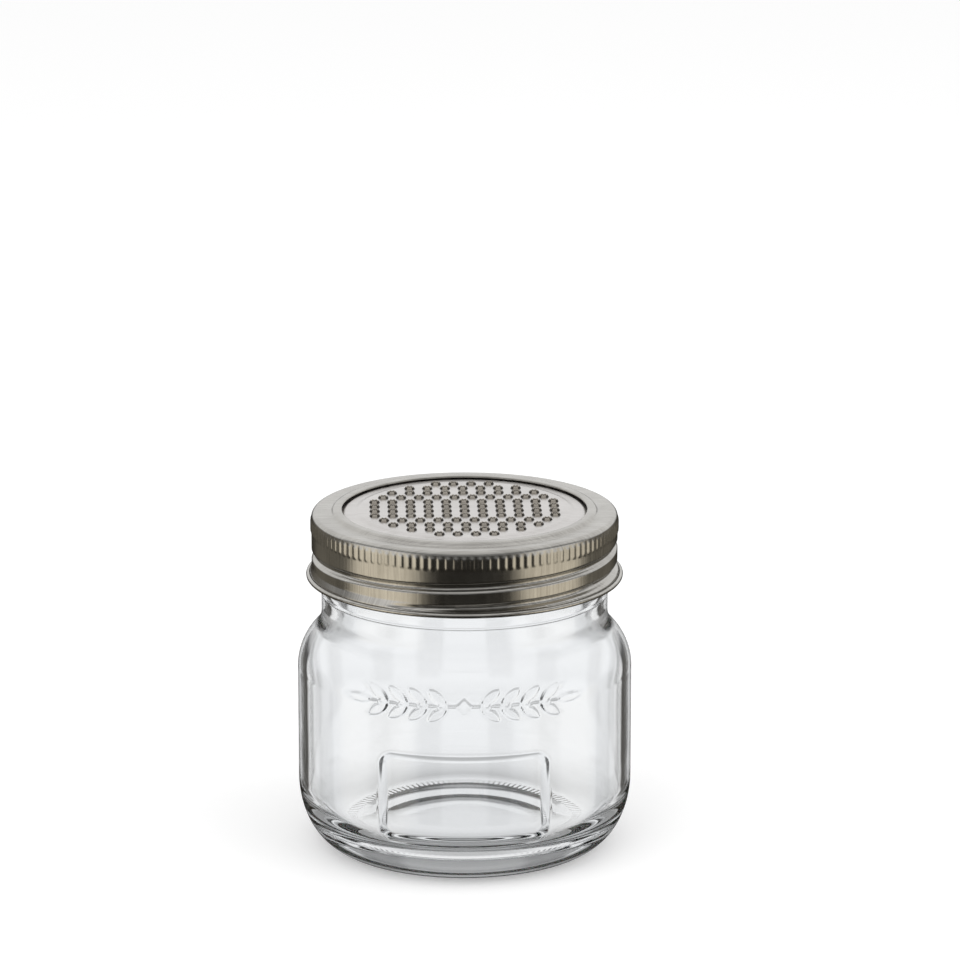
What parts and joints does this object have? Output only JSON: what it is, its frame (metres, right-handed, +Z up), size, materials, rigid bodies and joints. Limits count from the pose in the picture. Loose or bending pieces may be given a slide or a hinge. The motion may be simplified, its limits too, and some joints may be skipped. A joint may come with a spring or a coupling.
{
  "type": "spice jar",
  "caption": "Squat clear glass spice jar with a screw band holding a fine grater disc over its mouth, sealed by a ring on the rim.",
  "frame": {"origin": "centre of the glass base, on the plane the jar stands on", "axes": "+Z up along the jar's axis through its mouth; -Y is the front with the sunk panel; +X to the right seen from the front"},
  "size_m": [0.08, 0.0804, 0.0829],
  "materials": {
    "clear_glass": "pressed clear flint glass, fire polished",
    "seal_rubber": "matt translucent white silicone",
    "disc_steel": "satin stainless steel, pressed and punched",
    "band_steel": "satin tinned steel, rolled and knurled"
  },
  "bodies": {
    "jar": {"glass_base": "clear_glass", "glass_heel": "clear_glass", "glass_wall": "clear_glass", "glass_shoulder": "clear_glass", "glass_neck": "clear_glass"},
    "insert": {"seal_ring": "seal_rubber", "grater_disc": "disc_steel"},
    "band": {"screw_band": "band_steel"}
  },
  "joints": [
    {"name": "lid_lift", "type": "slide", "parent": "jar", "child": "insert", "axis": [0, 0, 1], "range_m": [0, 0.01778]},
    {"name": "band_turn", "type": "hinge", "parent": "insert", "child": "band", "pos_m": [0, 0, 0.0818], "axis": [0, 0, 1], "range_deg": [0, 1260]}
  ],
  "couplings": [
    {"joint": "lid_lift", "follows": "band_turn", "m_per_rad": 0.00080851}
  ]
}
